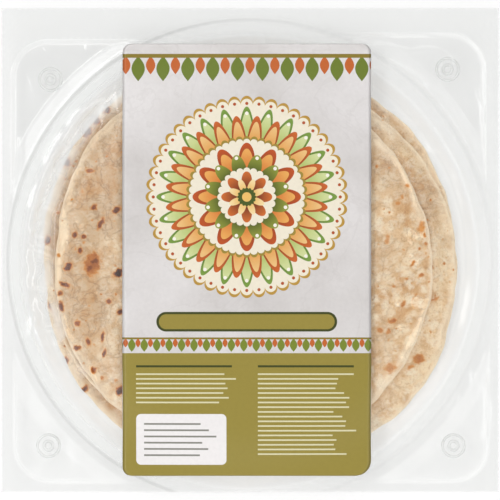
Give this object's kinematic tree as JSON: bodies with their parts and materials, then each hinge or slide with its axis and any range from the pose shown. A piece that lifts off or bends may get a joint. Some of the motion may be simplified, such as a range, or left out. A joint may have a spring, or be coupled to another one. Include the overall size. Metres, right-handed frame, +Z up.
{
  "type": "sealed pack of flatbreads",
  "caption": "Clear sealed film pack holding a flat stack of round flatbreads, with a printed front label over the round cavity; lies on its back with the label up.",
  "frame": {"origin": "on the surface the pack lies on, under the middle of the pack's outline", "axes": "+Z up through the label, +Y towards the label's upper end, +X to the right as the label is read"},
  "size_m": [0.254, 0.247, 0.0145],
  "materials": {
    "film": "clear glossy packing film, knurled where it is welded, over tan flatbreads",
    "label": "printed paper label with a light gloss, pale grey above and olive below",
    "flatbread": "matt baked wholemeal dough with brown char spots, seen through the clear film"
  },
  "bodies": {
    "root": {"sealed_pack": "film", "label": "label"}
  },
  "joints": []
}
